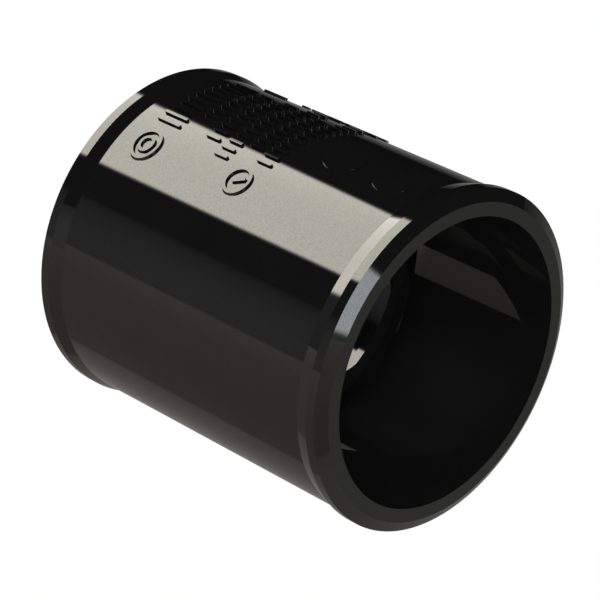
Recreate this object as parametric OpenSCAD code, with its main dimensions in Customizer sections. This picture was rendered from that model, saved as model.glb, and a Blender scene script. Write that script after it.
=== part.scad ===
// Straight solvent-weld pipe coupling, moulded in one piece.
// Two equal sockets meet at a stop ring, and a bevelled collar stiffens each mouth.
// The coupling stands on one mouth: its axis is Z and z = 0 is the lower end face.

/* [Pipe] */
// Outside diameter of the pipes that the coupling joins
pipe_d = 40; // [20:0.5:110]
// Play of a pipe in its socket, measured across the diameter
socket_play = 0.3; // [0.1:0.05:0.6]

/* [Sockets] */
// How far a pipe goes in before it meets the stop ring
socket_depth = 26.4; // [18:0.1:60]
// Wall of the body around the sockets
body_wall = 3.05; // [2.4:0.05:6]

/* [Stop ring] */
// Thickness of the stop ring along the axis
stop_width = 1.2; // [0.8:0.1:5]
// How far the stop ring stands in from the socket wall
stop_height = 2.15; // [0.8:0.05:4]

/* [Collars] */
// How far a collar stands out from the body
collar_rise = 0.55; // [0.2:0.05:2]
// Length of the straight band round a collar
collar_band = 1.45; // [0.5:0.05:4]
// Length of the slope between a collar and the body
collar_slope = 1.95; // [0.5:0.05:4]
// Length along the axis of the bevel at a mouth
bevel_length = 0.95; // [0.3:0.05:2]
// Width of the flat end face, from the bore to the bevel
face_width = 1.95; // [1.2:0.05:2.4]

/* [Mould insert marks] */
// Number of plain round marks that the mould inserts leave, one below another
disc_count = 2; // [1:1:2]
// Diameter of an insert mark
disc_d = 6; // [3:0.1:7.5]
// How far an insert mark stands out from the body
disc_rise = 0.1; // [0.08:0.01:0.18]
// Distance from the upper mouth down to the centre of the first mark
disc_drop = 9.5; // [8.5:0.1:10.5]
// Distance between the centres of neighbouring marks
disc_pitch = 8.8; // [8:0.1:10]
// Angle of the marks round the body, from the front towards the left
disc_angle = 51; // [0:1:359]

/* [Hidden] */
$fn = 180;
plastic_colour = [0.055, 0.055, 0.06];

// Radii from the axis outwards
socket_r = (pipe_d + socket_play) / 2;
passage_r = socket_r - stop_height;
mid_wall_r = socket_r + body_wall / 2;
body_r = socket_r + body_wall;
collar_r = body_r + collar_rise;
face_r = socket_r + face_width;

// Heights above the lower end face
band_z = bevel_length;
slope_z = band_z + collar_band;
body_z = slope_z + collar_slope;
stop_z = socket_depth;
stop_top_z = stop_z + stop_width;
coupling_length = 2 * socket_depth + stop_width;

// Outer line of one mouth, from its end face to the straight body
mouth_line = [
    [face_r, 0],
    [collar_r, band_z],
    [collar_r, slope_z],
    [body_r, body_z]
];

// Line of the bores, from the upper mouth down past the stop ring
bore_line = [
    [socket_r, coupling_length],
    [socket_r, stop_top_z],
    [passage_r, stop_top_z],
    [passage_r, stop_z],
    [socket_r, stop_z],
    [socket_r, 0]
];

// A line turned over end for end along the coupling
function turned_over(line) = [
    for (i = [len(line) - 1 : -1 : 0]) [line[i][0], coupling_length - line[i][1]]
];

module wall() {
    rotate_extrude()
        polygon(concat(mouth_line, turned_over(mouth_line), bore_line));
}

// Round pads that follow the curve of the body and stand a little proud of it
module insert_marks() {
    intersection() {
        for (i = [0 : disc_count - 1])
            translate([0, 0, coupling_length - disc_drop - i * disc_pitch])
                rotate([90, 0, -disc_angle])
                    cylinder(d = disc_d, h = collar_r);
        rotate_extrude()
            translate([mid_wall_r, 0])
                square([body_r + disc_rise - mid_wall_r, coupling_length]);
    }
}

module coupling_body() {
    color(plastic_colour)
        union() {
            wall();
            insert_marks();
        }
}

coupling_body();
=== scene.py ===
import math

import bmesh
import bpy
from mathutils import Matrix, Vector


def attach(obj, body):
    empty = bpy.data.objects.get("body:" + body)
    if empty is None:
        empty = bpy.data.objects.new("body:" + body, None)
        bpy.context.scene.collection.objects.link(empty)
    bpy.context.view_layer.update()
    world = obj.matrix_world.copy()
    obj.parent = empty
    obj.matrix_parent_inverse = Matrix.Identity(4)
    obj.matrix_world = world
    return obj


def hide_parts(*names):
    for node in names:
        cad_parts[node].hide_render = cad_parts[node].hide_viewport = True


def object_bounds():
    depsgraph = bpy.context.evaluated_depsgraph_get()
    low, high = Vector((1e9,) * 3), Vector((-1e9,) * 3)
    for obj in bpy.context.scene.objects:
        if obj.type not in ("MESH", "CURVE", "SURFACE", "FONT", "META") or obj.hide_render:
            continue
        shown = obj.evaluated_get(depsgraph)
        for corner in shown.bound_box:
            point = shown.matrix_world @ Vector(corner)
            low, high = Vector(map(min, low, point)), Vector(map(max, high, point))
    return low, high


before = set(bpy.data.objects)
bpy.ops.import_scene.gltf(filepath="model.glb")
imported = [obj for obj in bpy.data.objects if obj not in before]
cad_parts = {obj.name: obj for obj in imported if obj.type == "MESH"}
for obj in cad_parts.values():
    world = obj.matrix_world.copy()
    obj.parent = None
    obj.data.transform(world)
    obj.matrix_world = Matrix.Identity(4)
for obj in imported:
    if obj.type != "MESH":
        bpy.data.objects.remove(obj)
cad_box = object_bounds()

MM = 0.001


def radians(*degrees):
    return [math.radians(angle) for angle in degrees]


# Sizes of the moulding in millimetres, from the frame's box and the walls of the part
LENGTH = cad_box[1][2] / MM
COLLAR_R = cad_box[1][0] / MM
COLLAR_RISE = 0.55
BODY_WALL = 3.05
STOP_HEIGHT = 2.15
STOP_WIDTH = 1.2
FACE_WIDTH = 1.95
BEVEL_LENGTH = 0.95
# The photo shows the edges of the slope a few hundredths away from the solid's 1.45 and 1.95
COLLAR_BAND = 1.41
COLLAR_SLOPE = 2.06
BODY_R = COLLAR_R - COLLAR_RISE
SOCKET_R = BODY_R - BODY_WALL
PASSAGE_R = SOCKET_R - STOP_HEIGHT
# A moulded socket is a little wider at its mouth and narrower at the stop
SOCKET_TAPER = 0.028
FACE_R = SOCKET_R + FACE_WIDTH
STOP_Z = (LENGTH - STOP_WIDTH) / 2

# Mesh steps: faces round the axis, the longest face along it in millimetres, faces of a round
# corner, faces round a ring, and faces round a disc and from its middle to its rim
TURNED_FACES = 576
LONGEST_FACE = 3.0
CORNER_STEPS = 6
RING_STEPS = 72
DISC_STEPS = 96
DISC_RINGS = 10
# Edges are sharp where the surface bends by more than this, on the body and on the raised marks
SHARP_ANGLE, SHARP_RIM_ANGLE = radians(4, 40)

# The mould inserts that leave round marks and dials: the azimuth they face, and the round marks
INSERT_AZIMUTH = -51
DISC_D = 6.0
DISC_RISE = 0.1
DISC_DROP = 9.5
DISC_PITCH = 8.8
DISC_COUNT = 2

# Raised marks: rise of the rows and dials, rise of the bars past the rows, depth of a sunk foot,
# stroke, gap between two bars, and radius of a bar's corners
MARK_RISE = 0.33
END_BAR_RISE = 0.28
MARK_FOOT = 0.1
STROKE = 0.5
MARK_GAP = 0.95
MARK_CORNER = 0.13
# Rows of marks: lower edge, upper edge, azimuth of the right end and azimuth of the left end
MARK_ROWS = [
    (7.35, 11.65, -33.2, -72), (12.6, 15.0, -43, -71), (16.25, 18.75, -34.8, -72),
    (19.8, 22.2, -29.6, -78), (23.1, 25.4, -38.5, -70), (26.2, 28.8, -33.8, -78.5),
]
# Columns of upright bars past the left end of the rows: azimuth, lower and upper edge of each bar
END_COLUMNS = [
    (-82.7, [(7.8, 12.1), (20.2, 22.7), (23.5, 25.9), (26.6, 29.4)]),
    (-88.5, [(13.2, 14.7), (15.1, 19.3), (19.8, 22.7), (23.0, 25.9), (26.2, 29.4)]),
]
# Dials: azimuth, height, inner and outer radius of each ring, and each hand's angle in degrees and
# its start and end from the middle
DIALS = [
    (-23.9, 26.4, [(1.6, 2.0)], [(118, -0.6, 1.1)]),
    (-22.3, 9.5, [(1.8, 2.2), (0.78, 1.2)], []),
]

# Places in the studio are directions. Angles and azimuths go in degrees from the front round to the
# right. A height is the upward part of a direction, from 0 at the horizon to 1 straight up.

# The even light on matt surfaces, and the white that the camera sees behind the object
AMBIENT = (0.5, 0.5, 0.5)
WHITE = (1.0, 1.0, 1.0)
# Softboxes: half width of the rim, half width of the haze about it, and the haze's share
SOFT_EDGE = 0.0165
HAZE_EDGE = 0.033
HAZE_SHARE = 0.3

# The warm softbox: normals of its side planes, elevation of its top edge and tint. Its level is a
# constant plus the dot product of the direction with a slope.
WARM_SIDES = [(0.5311, -0.7387, -0.4151), (-0.9026, 0.4241, -0.0743), (-0.766, -0.643, 0.2)]
WARM_TOP = -24
WARM_TINT = (1.0, 0.955, 0.841)
WARM_LEVEL = 11.16
WARM_SLOPE = (1.76, -1.23, 4.12)
# Its top edge is dimmer: the heights between which it gets so, and the change at two places across
WARM_DIM_HEIGHTS = (-0.600, -0.5955)
WARM_DIM_PLACES = (-0.328, -0.757)
WARM_DIM_CHANGES = (-0.56, -0.345)

# The cool softbox: normals of its left and right plane, each with the azimuth and elevation of a
# point on it, elevation of its lower edge, and light
COOL_SIDES = [((0.94, -0.1, 0.22), (-72.6, 74.0)), ((-0.94, -0.1, 0.02), (37.5, 80.8))]
COOL_BOTTOM = 57
COOL_LIGHT = (5.8, 6.1, 6.45)

# The front glow: azimuth and elevation of its middle, how far from there it begins and is full
GLOW_MIDDLE = (0, 42)
GLOW_REACH = radians(50, 25)
GLOW_LIGHT = (0.4, 0.42, 0.44)

# Side strips: the angles where each fades in and out, lowest and highest elevation, and light
STRIP_SIDES = (radians(125, 128), radians(141, 144))
STRIP_BOTTOM = -21
STRIP_TOP = 9
STRIP_LIGHT = (3.6, 3.7, 3.8)

# Studio walls: the angle round the object and the colour there
WALL_COLOURS = [
    (-180, (0.27, 0.265, 0.25)), (-164, (0.22, 0.22, 0.208)), (-159, (0.208, 0.207, 0.197)),
    (-155, (0.162, 0.163, 0.157)), (-151, (0.109, 0.111, 0.109)), (-147, (0.069, 0.071, 0.071)),
    (-145, (0.045, 0.047, 0.048)), (-143, (0.012, 0.012, 0.012)), (-142, (0.0, 0.0, 0.0)),
    (-40, (0.0, 0.0, 0.0)), (-15, (0.007, 0.007, 0.007)), (1.5, (0.007, 0.007, 0.007)),
    (3.5, (0.09, 0.09, 0.09)), (5, (0.12, 0.12, 0.12)), (8, (0.165, 0.165, 0.165)),
    (11, (0.19, 0.19, 0.19)), (17, (0.24, 0.242, 0.242)), (23, (0.253, 0.257, 0.257)),
    (30, (0.27, 0.275, 0.274)), (38.4, (0.25, 0.26, 0.255)), (39.5, (0.565, 0.53, 0.468)),
    (43, (0.53, 0.50, 0.442)), (49, (0.45, 0.43, 0.38)), (55, (0.41, 0.385, 0.34)),
    (68, (0.345, 0.33, 0.29)), (81, (0.285, 0.265, 0.23)), (100, (0.22, 0.21, 0.18)),
    (116.3, (0.18, 0.17, 0.145)), (117.1, (0.28, 0.27, 0.245)), (150, (0.27, 0.262, 0.24)),
    (180, (0.27, 0.265, 0.25)),
]
# How much brighter the walls get by the same angle, and the heights between which they do
WALL_GAINS = [
    (-180, 0.13), (-120, 0.13), (35, 0.2), (60, 0.35), (110, 0.55), (118, 0.52), (145, 0.48),
    (180, 0.13),
]
GAIN_HEIGHTS = (-0.03, 0.70)
# How the walls' upright edges lean sideways by height, below and above the horizon
LEAN_BELOW = 0.038
LEAN_ABOVE = -0.048
# The corner behind on the left: heights where it begins, and angles where it fades in and out
CORNER_HEIGHTS = (0.1, 0.15)
CORNER_SIDES = (radians(-147.2, -146.8), radians(-130, -120))
# The part in front: angles of its left and right end
FRONT_LEFT = radians(-60, -50)
FRONT_RIGHT = radians(38.4, 39.5)
# The band in it: heights where it fades in and out, angles where its black ends and its extra
# light comes in, and the share of extra light
BAND_HEIGHTS = ((-0.5, -0.4), (0.0, 0.1))
BAND_BLACK_END = radians(11.2, 13.6)
BAND_EXTRA_START = radians(12, 24)
BAND_EXTRA = 0.62
# The foot of the wall: the share of light it loses, heights where that ends, and angles where it
# fades in and out
FOOT_LOSS = 0.16
FOOT_HEIGHTS = (-0.705, -0.65)
FOOT_SIDES = (radians(4, 12), radians(55, 75))
# The ground in front: heights where it ends, and its colour
GROUND_HEIGHTS = (-0.86, -0.80)
GROUND_COLOUR = (0.11, 0.11, 0.107)

# Lamps in the sockets: distance from the axis in millimetres, azimuth, heights, radius and watts
BORE_LAMP_R = 12
BORE_LAMP_AZIMUTH = 170
BORE_LAMP_HEIGHTS = (9, 17, LENGTH - 17, LENGTH - 9)
BORE_LAMP_SIZE = 4
BORE_LAMP_POWER = 0.00048

# Half the width of the floor in metres
FLOOR_REACH = 3.0

# The camera: lens and sensor in millimetres, near limit and place in metres, and in degrees the
# azimuth and elevation that it looks from and its turn about its line of sight
LENS = 169.45
SENSOR_WIDTH = 36
CLIP_START = 0.01
CAMERA_PLACE = (0, -0.298, 0.26447)
CAMERA_AZIMUTH = -0.1705
CAMERA_ELEVATION = 38.5159
CAMERA_ROLL = 115.8175

# The plastic: its dark and light colour, and its lower and upper roughness and specular level
PLASTIC_COLOURS = ((0.0114, 0.0114, 0.0114), (0.0126, 0.0126, 0.0126))
PLASTIC_ROUGHNESS = (0.014, 0.022)
PLASTIC_SPECULAR = (0.44, 0.56)
PLASTIC_IOR = 1.5
# The values of the noise that give the first and the second of such a pair
NOISE_LIMITS = (0.3, 0.7)
# Noise for each: size of its features in millimetres, and detail
COLOUR_NOISE = (6, 3)
ROUGHNESS_NOISE = (3, 4)
SPECULAR_NOISE = (0.13, 0)
BUMP_NOISE = (0.3, 2)
# Height of the bumps in millimetres
BUMP_HEIGHT = 0.0003


class Tree:
    """Short calls that add nodes to a node tree and join them."""

    def __init__(self, tree):
        self.tree = tree
        tree.nodes.clear()

    def node(self, kind, **settings):
        made = self.tree.nodes.new(kind)
        for name, value in settings.items():
            setattr(made, name, value)
        return made

    def put(self, socket, value):
        if isinstance(value, bpy.types.NodeSocket):
            self.tree.links.new(value, socket)
        elif value is not None:
            socket.default_value = value

    def math(self, operation, a, b=None, c=None):
        made = self.node("ShaderNodeMath", operation=operation)
        for socket, value in zip(made.inputs, (a, b, c)):
            self.put(socket, value)
        return made.outputs[0]

    def dot(self, vector, normal):
        made = self.node("ShaderNodeVectorMath", operation="DOT_PRODUCT")
        self.put(made.inputs[0], vector)
        made.inputs[1].default_value = normal
        return made.outputs["Value"]

    def scale(self, vector, factor):
        made = self.node("ShaderNodeVectorMath", operation="SCALE")
        self.put(made.inputs[0], vector)
        self.put(made.inputs["Scale"], factor)
        return made.outputs[0]

    def by_angle(self, place, stops):
        """A colour or grey level that goes by degrees round the object."""
        made = self.node("ShaderNodeValToRGB")
        elements = made.color_ramp.elements
        elements.remove(elements[1])
        for i, (degrees, value) in enumerate(stops):
            where = (degrees + 180) / 360
            element = elements[0] if i == 0 else elements.new(where)
            element.position = where
            colour = value if isinstance(value, tuple) else (value, value, value)
            element.color = (*colour, 1)
        self.put(made.inputs[0], place)
        return made.outputs["Color"]

    def map_range(self, value, start, end, low, high, **settings):
        made = self.node("ShaderNodeMapRange", **settings)
        self.put(made.inputs["Value"], value)
        limits = {"From Min": start, "From Max": end, "To Min": low, "To Max": high}
        for name, number in limits.items():
            made.inputs[name].default_value = number
        return made.outputs["Result"]

    def step(self, value, start, end, low=0.0, high=1.0):
        """low up to start, high from end on, and a smooth way between them"""
        smooth = {"interpolation_type": "SMOOTHSTEP", "clamp": True}
        return self.map_range(value, start, end, low, high, **smooth)

    def linear(self, value, start, end, low, high):
        """low at start and high at end, straight between them and beyond them"""
        return self.map_range(value, start, end, low, high, clamp=False)

    def between(self, value, rise, fall):
        """0 before rise, 1 between rise and fall, and 0 after fall"""
        return self.math("MULTIPLY", self.step(value, *rise), self.step(value, *fall, 1.0, 0.0))

    def mix(self, factor, a, b):
        made = self.node("ShaderNodeMix", data_type="RGBA")
        self.put(made.inputs["Factor"], factor)
        for socket, value in ((made.inputs[6], a), (made.inputs[7], b)):
            self.put(socket, (*value, 1) if isinstance(value, tuple) else value)
        return made.outputs[2]

    def noise(self, place, size, detail):
        """Noise with features of about the given size in millimetres."""
        made = self.node("ShaderNodeTexNoise")
        self.put(made.inputs["Vector"], place)
        made.inputs["Scale"].default_value = 1 / (size * MM)
        made.inputs["Detail"].default_value = detail
        return made.outputs["Fac"]


def direction(azimuth, elevation):
    """The way to a point of the studio, from degrees round to the right and degrees up."""
    a, e = radians(azimuth, elevation)
    return Vector((math.sin(a) * math.cos(e), -math.cos(a) * math.cos(e), math.sin(e)))


def above(elevation):
    """The part of the studio above an elevation, as an edge for a softbox."""
    return (0, 0, 1), math.sin(math.radians(elevation))


def below(elevation):
    """The part of the studio below an elevation, as an edge for a softbox."""
    return (0, 0, -1), -math.sin(math.radians(elevation))


def softbox(t, ray, edges):
    """1 inside all edges and 0 outside, with soft rims; an edge is a plane's normal and offset."""
    result = None
    for normal, offset in edges:
        distance = t.dot(ray, normal)
        rim = t.step(distance, offset - SOFT_EDGE, offset + SOFT_EDGE, 0.0, 1 - HAZE_SHARE)
        haze = t.step(distance, offset - HAZE_EDGE, offset + HAZE_EDGE, 0.0, HAZE_SHARE)
        inside = t.math("ADD", rim, haze)
        result = inside if result is None else t.math("MULTIPLY", result, inside)
    return result


def studio_walls(t, x, y, z):
    lean = t.math("MINIMUM", t.math("MULTIPLY", z, LEAN_BELOW), t.math("MULTIPLY", z, LEAN_ABOVE))
    angle = t.math("ARCTAN2", t.math("ADD", x, lean), t.math("MULTIPLY", y, -1.0))
    place = t.math("MULTIPLY_ADD", angle, 0.5 / math.pi, 0.5)
    gain = t.math("MULTIPLY_ADD", t.by_angle(place, WALL_GAINS), t.step(z, *GAIN_HEIGHTS), 1.0)
    # behind on the left the wall ends at a sharp corner once it is above the object
    corner = t.math("MULTIPLY", t.step(z, *CORNER_HEIGHTS), t.between(angle, *CORNER_SIDES))
    gain = t.math("MULTIPLY", gain, t.math("SUBTRACT", 1.0, corner))
    walls = t.scale(t.by_angle(place, WALL_COLOURS), gain)
    # in front, from well below the horizon to just above it, a band of the wall is black on the
    # left and lighter than the rest on the right
    extra = t.math("MULTIPLY", t.step(angle, *BAND_EXTRA_START, 0.0, BAND_EXTRA),
                   t.step(angle, *FRONT_RIGHT, 1.0, 0.0))
    lit = t.step(angle, *BAND_BLACK_END)
    change = t.math("SUBTRACT", t.math("MULTIPLY_ADD", lit, extra, lit), 1.0)
    band = t.math("MULTIPLY", t.between(z, *BAND_HEIGHTS), t.step(angle, *FRONT_LEFT))
    walls = t.scale(walls, t.math("MULTIPLY_ADD", band, change, 1.0))
    # and it gets a little darker towards the ground
    loss = t.math("MULTIPLY", t.step(z, *FOOT_HEIGHTS, FOOT_LOSS, 0.0),
                  t.between(angle, *FOOT_SIDES))
    walls = t.scale(walls, t.math("SUBTRACT", 1.0, loss))
    # the ground in front is an even dark grey
    ground = t.math("MULTIPLY", t.step(z, *GROUND_HEIGHTS, 1.0, 0.0),
                    t.between(angle, FRONT_LEFT, FRONT_RIGHT))
    return t.mix(ground, walls, GROUND_COLOUR)


def add_warm_panel(t, light, ray, x, z):
    """The large warm softbox low at the front left."""
    panel = softbox(t, ray, [(normal, 0) for normal in WARM_SIDES] + [below(WARM_TOP)])
    level = t.math("ADD", t.dot(ray, WARM_SLOPE), WARM_LEVEL)
    # it is dimmer along its top edge, the more so towards the right
    change = t.linear(x, *WARM_DIM_PLACES, *WARM_DIM_CHANGES)
    share = t.math("MULTIPLY_ADD", t.step(z, *WARM_DIM_HEIGHTS), change, 1.0)
    return t.mix(panel, light, t.scale(WARM_TINT, t.math("MULTIPLY", level, share)))


def add_front_glow(t, light, ray):
    """A faint cool glow high at the front, which the stop ring shows."""
    start, full = [math.cos(reach) for reach in GLOW_REACH]
    glow = t.step(t.dot(ray, direction(*GLOW_MIDDLE)), start, full)
    return t.mix(glow, light, GLOW_LIGHT)


def add_cool_panel(t, light, ray):
    """The cool softbox overhead, between two upright planes."""
    sides = [(normal, Vector(normal).dot(direction(*point))) for normal, point in COOL_SIDES]
    return t.mix(softbox(t, ray, sides + [above(COOL_BOTTOM)]), light, COOL_LIGHT)


def add_side_strips(t, light, ray, x, y):
    """Two upright strip lights behind, left and right; the photo's view doesn't show them."""
    side = t.math("ARCTAN2", t.math("ABSOLUTE", x), t.math("MULTIPLY", y, -1.0))
    height = softbox(t, ray, [above(STRIP_BOTTOM), below(STRIP_TOP)])
    strips = t.math("MULTIPLY", t.between(side, *STRIP_SIDES), height)
    return t.mix(strips, light, STRIP_LIGHT)


def make_studio():
    """Light by direction: the studio for reflections, grey for matt light, white for the camera."""
    world = bpy.data.worlds.new("studio")
    bpy.context.scene.world = world
    world.use_nodes = True
    world.cycles.sampling_method = "NONE"
    t = Tree(world.node_tree)
    ray = t.node("ShaderNodeTexCoord").outputs["Generated"]
    split = t.node("ShaderNodeSeparateXYZ")
    t.put(split.inputs[0], ray)
    x, y, z = split.outputs
    light = studio_walls(t, x, y, z)
    light = add_warm_panel(t, light, ray, x, z)
    light = add_front_glow(t, light, ray)
    light = add_cool_panel(t, light, ray)
    light = add_side_strips(t, light, ray, x, y)
    path = t.node("ShaderNodeLightPath")
    light = t.mix(path.outputs["Is Diffuse Ray"], light, AMBIENT)
    light = t.mix(path.outputs["Is Camera Ray"], light, WHITE)
    background = t.node("ShaderNodeBackground")
    t.put(background.inputs["Color"], light)
    t.put(t.node("ShaderNodeOutputWorld").inputs["Surface"], background.outputs[0])


def make_bore_fill():
    """Faint lamps in both sockets that lift the shade of their rear wall, but aren't reflected."""
    place = direction(BORE_LAMP_AZIMUTH, 0) * BORE_LAMP_R
    for height in BORE_LAMP_HEIGHTS:
        lamp = bpy.data.lights.new("bore_fill", "POINT")
        lamp.energy = BORE_LAMP_POWER
        lamp.shadow_soft_size = BORE_LAMP_SIZE * MM
        holder = bpy.data.objects.new("bore_fill", lamp)
        holder.location = (place.x * MM, place.y * MM, height * MM)
        holder.visible_camera = False
        holder.visible_glossy = False
        bpy.context.scene.collection.objects.link(holder)


def make_floor():
    """A plain white floor that neither lights nor shades the object."""
    mesh = bpy.data.meshes.new("floor")
    signs = ((-1, -1), (1, -1), (1, 1), (-1, 1))
    corners = [(x * FLOOR_REACH, y * FLOOR_REACH, 0) for x, y in signs]
    mesh.from_pydata(corners, [], [(0, 1, 2, 3)])
    floor = bpy.data.objects.new("floor", mesh)
    bpy.context.scene.collection.objects.link(floor)
    material = bpy.data.materials.new("pale_floor")
    material.use_nodes = True
    t = Tree(material.node_tree)
    shader = t.node("ShaderNodeEmission")
    shader.inputs["Color"].default_value = (*WHITE, 1)
    t.put(t.node("ShaderNodeOutputMaterial").inputs["Surface"], shader.outputs[0])
    mesh.materials.append(material)
    floor.visible_glossy = False
    floor.visible_diffuse = False
    floor.visible_shadow = False
    floor.visible_transmission = False


def make_camera():
    """The photo's camera, turned about its line of sight as the photographed part lies tilted."""
    data = bpy.data.cameras.new("camera")
    data.lens = LENS
    data.sensor_width = SENSOR_WIDTH
    data.clip_start = CLIP_START
    camera = bpy.data.objects.new("camera", data)
    bpy.context.scene.collection.objects.link(camera)
    back = direction(CAMERA_AZIMUTH, CAMERA_ELEVATION)
    roll = Matrix.Rotation(math.radians(CAMERA_ROLL), 3, back)
    right = roll @ direction(CAMERA_AZIMUTH + 90, 0)
    matrix = Matrix((right, back.cross(right), back)).transposed().to_4x4()
    matrix.translation = Vector(CAMERA_PLACE)
    camera.matrix_world = matrix
    bpy.context.scene.camera = camera


def make_plastic():
    """Black moulded plastic: glossy, with faintly uneven gloss and a very fine grain."""
    material = bpy.data.materials.new("black_moulded_plastic")
    material.use_nodes = True
    t = Tree(material.node_tree)
    place = t.node("ShaderNodeTexCoord").outputs["Object"]
    shader = t.node("ShaderNodeBsdfPrincipled")
    shader.inputs["IOR"].default_value = PLASTIC_IOR
    tone = t.step(t.noise(place, *COLOUR_NOISE), *NOISE_LIMITS)
    t.put(shader.inputs["Base Color"], t.mix(tone, *PLASTIC_COLOURS))
    roughness = t.step(t.noise(place, *ROUGHNESS_NOISE), *NOISE_LIMITS, *PLASTIC_ROUGHNESS)
    t.put(shader.inputs["Roughness"], roughness)
    specular = t.linear(t.noise(place, *SPECULAR_NOISE), *NOISE_LIMITS, *PLASTIC_SPECULAR)
    t.put(shader.inputs["Specular IOR Level"], specular)
    bump = t.node("ShaderNodeBump")
    bump.inputs["Strength"].default_value = 1.0
    bump.inputs["Distance"].default_value = BUMP_HEIGHT * MM
    t.put(bump.inputs["Height"], t.noise(place, *BUMP_NOISE))
    t.put(shader.inputs["Normal"], bump.outputs[0])
    t.put(t.node("ShaderNodeOutputMaterial").inputs["Surface"], shader.outputs[0])
    return material


def make_piece(name, points, faces, sharp_angle, material):
    """A closed mesh from points in millimetres, smooth where it bends by less than sharp_angle."""
    mesh = bpy.data.meshes.new(name)
    mesh.from_pydata([(x * MM, y * MM, z * MM) for x, y, z in points], [], faces)
    mesh.update()
    bm = bmesh.new()
    bm.from_mesh(mesh)
    bmesh.ops.recalc_face_normals(bm, faces=bm.faces)
    for face in bm.faces:
        face.smooth = True
    for edge in bm.edges:
        edge.smooth = edge.calc_face_angle() < sharp_angle
    bm.to_mesh(mesh)
    bm.free()
    mesh.materials.append(material)
    piece = bpy.data.objects.new(name, mesh)
    bpy.context.scene.collection.objects.link(piece)
    return piece


def divided(line):
    """The closed line, with points added where a stretch along the axis is over LONGEST_FACE."""
    points = []
    for (r0, z0), (r1, z1) in zip(line, line[1:] + line[:1]):
        parts = max(1, math.ceil(abs(z1 - z0) / LONGEST_FACE))
        points += [(r0 + (r1 - r0) * i / parts, z0 + (z1 - z0) * i / parts) for i in range(parts)]
    return points


def full_turn(steps):
    return [2 * math.pi * k / steps for k in range(steps)]


def turned(line):
    """Points and faces of a closed line of (radius, height) turned round the axis."""
    turns = full_turn(TURNED_FACES)
    points = [(r * math.sin(a), -r * math.cos(a), z) for r, z in line for a in turns]
    faces = []
    for i in range(len(line)):
        this_ring, next_ring = i * TURNED_FACES, (i + 1) % len(line) * TURNED_FACES
        for k in range(TURNED_FACES):
            m = (k + 1) % TURNED_FACES
            faces.append((this_ring + k, this_ring + m, next_ring + m, next_ring + k))
    return points, faces


def make_body(material):
    """The one moulding: both sockets, the stop ring and the bevelled collars."""
    slope_z = BEVEL_LENGTH + COLLAR_BAND
    mouth = [(FACE_R, 0), (COLLAR_R, BEVEL_LENGTH), (COLLAR_R, slope_z),
             (BODY_R, slope_z + COLLAR_SLOPE)]
    line = mouth + [(r, LENGTH - z) for r, z in reversed(mouth)]
    mouth_r, seat_r = SOCKET_R + SOCKET_TAPER, SOCKET_R - SOCKET_TAPER
    line += [(mouth_r, LENGTH), (seat_r, LENGTH - STOP_Z), (PASSAGE_R, LENGTH - STOP_Z),
             (PASSAGE_R, STOP_Z), (seat_r, STOP_Z), (mouth_r, 0)]
    return make_piece("moulded_body", *turned(divided(line)), SHARP_ANGLE, material)


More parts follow.
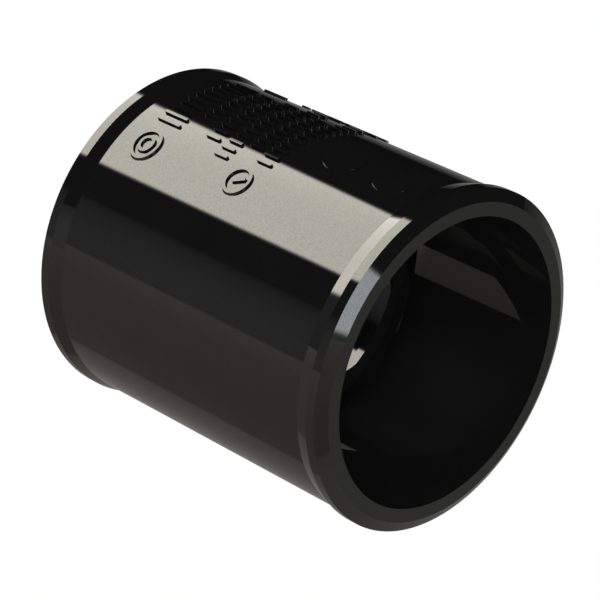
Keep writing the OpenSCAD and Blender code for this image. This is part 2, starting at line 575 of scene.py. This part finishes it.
class Pads:
    """Flat shapes in millimetres across (u) and up (h), raised as pads that follow the body."""

    def __init__(self):
        self.points = []
        self.faces = []

    def grid(self, rows, closed=False):
        """Joins rows of equally many points with faces."""
        first, count = len(self.points), len(rows[0])
        self.points += [point for row in rows for point in row]
        for i in range(len(rows) - 1):
            for k in range(count if closed else count - 1):
                a, b = first + i * count + k, first + i * count + (k + 1) % count
                self.faces.append((a, b, b + count, a + count))

    def bar(self, right, low, high):
        """An upright bar with round corners."""
        left = right - STROKE
        turn = [math.pi / 2 * k / CORNER_STEPS for k in range(CORNER_STEPS + 1)]
        start = [(left + MARK_CORNER * (1 - math.cos(a)), MARK_CORNER * (1 - math.sin(a)))
                 for a in turn]
        columns = start + [(left + right - u, inset) for u, inset in reversed(start)]
        self.grid([[(u, low + inset) for u, inset in columns],
                   [(u, high - inset) for u, inset in columns]])

    def circles(self, u, h, radii, steps):
        """Faces between circles about (u, h)."""
        self.grid([[(u + r * math.cos(a), h + r * math.sin(a)) for a in full_turn(steps)]
                   for r in radii], True)

    def ring(self, u, h, inner, outer):
        self.circles(u, h, (inner, outer), RING_STEPS)

    def disc(self, u, h, radius):
        """A full round shape: rings of faces about a small many-sided middle."""
        middle = len(self.points)
        radii = [radius * r / DISC_RINGS for r in range(1, DISC_RINGS + 1)]
        self.circles(u, h, radii, DISC_STEPS)
        self.faces.append(tuple(reversed(range(middle, middle + DISC_STEPS))))

    def hand(self, u, h, degrees, start, end):
        """A straight bar along a line through (u, h), from start to end on that line."""
        a = math.radians(degrees)
        along, across = (math.cos(a), math.sin(a)), (-math.sin(a), math.cos(a))
        self.grid([[(u + along[0] * r + across[0] * s, h + along[1] * r + across[1] * s)
                    for r in (start, end)] for s in (STROKE / 2, -STROKE / 2)])

    def make(self, name, rise, material, inserted):
        """The piece: tops that follow the body, rims, and feet sunk into the wall. The shapes of
        an insert keep their width as seen from the insert, and their rims run the way it is drawn
        off; all others are laid round the body, with rims square to it."""
        count = len(self.points)

        def wrapped(radius):
            if inserted:
                facing = math.radians(INSERT_AZIMUTH)
                places = [(facing + math.asin(u / radius), h) for u, h in self.points]
            else:
                places = [(u / BODY_R, h) for u, h in self.points]
            return [(radius * math.sin(a), -radius * math.cos(a), h) for a, h in places]

        used = set()
        for face in self.faces:
            used.update(zip(face, face[1:] + face[:1]))
        rims = [(b, a, a + count, b + count) for a, b in sorted(used) if (b, a) not in used]
        feet = [tuple(count + i for i in reversed(face)) for face in self.faces]
        return make_piece(name, wrapped(BODY_R + rise) + wrapped(BODY_R - MARK_FOOT),
                          self.faces + feet + rims, SHARP_RIM_ANGLE, material)


def on_insert(azimuth):
    """The place across the mould insert of an azimuth: millimetres from the insert's middle."""
    return BODY_R * math.sin(math.radians(azimuth - INSERT_AZIMUTH))


def round_body(azimuth):
    """The way round the body, in millimetres, to an azimuth in degrees."""
    return BODY_R * math.radians(azimuth)


def make_insert_marks(material):
    """Round flat marks, one below the other."""
    pads = Pads()
    for i in range(DISC_COUNT):
        pads.disc(0, LENGTH - DISC_DROP - i * DISC_PITCH, DISC_D / 2)
    return pads.make("insert_marks", DISC_RISE, material, True)


def make_mark_rows(material):
    """Rows of plain upright bars where the real part carries its moulded words."""
    pads = Pads()
    for low, high, right_end, left_end in MARK_ROWS:
        right = round_body(right_end)
        while right - STROKE > round_body(left_end):
            pads.bar(right, low, high)
            right -= STROKE + MARK_GAP
    return pads.make("mark_rows", MARK_RISE, material, False)


def make_end_bars(material):
    """Columns of plain upright bars past the left end of the rows."""
    pads = Pads()
    for azimuth, bars in END_COLUMNS:
        for low, high in bars:
            pads.bar(round_body(azimuth), low, high)
    return pads.make("end_bars", END_BAR_RISE, material, False)


def make_dials(material):
    """Two plain dials: a ring with a hand, and two rings one within the other."""
    pads = Pads()
    for azimuth, height, rings, hands in DIALS:
        u = on_insert(azimuth)
        for inner, outer in rings:
            pads.ring(u, height, inner, outer)
        for degrees, start, end in hands:
            pads.hand(u, height, degrees, start, end)
    return pads.make("dials", MARK_RISE, material, True)


bpy.context.scene.view_settings.view_transform = "Standard"
bpy.context.scene.cycles.caustics_reflective = False
make_studio()
make_bore_fill()
make_floor()
make_camera()
plastic = make_plastic()
body = make_body(plastic)
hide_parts("coupling_body")
marks = [make(plastic) for make in (make_insert_marks, make_mark_rows, make_end_bars, make_dials)]
for piece in [body] + marks:
    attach(piece, "root")
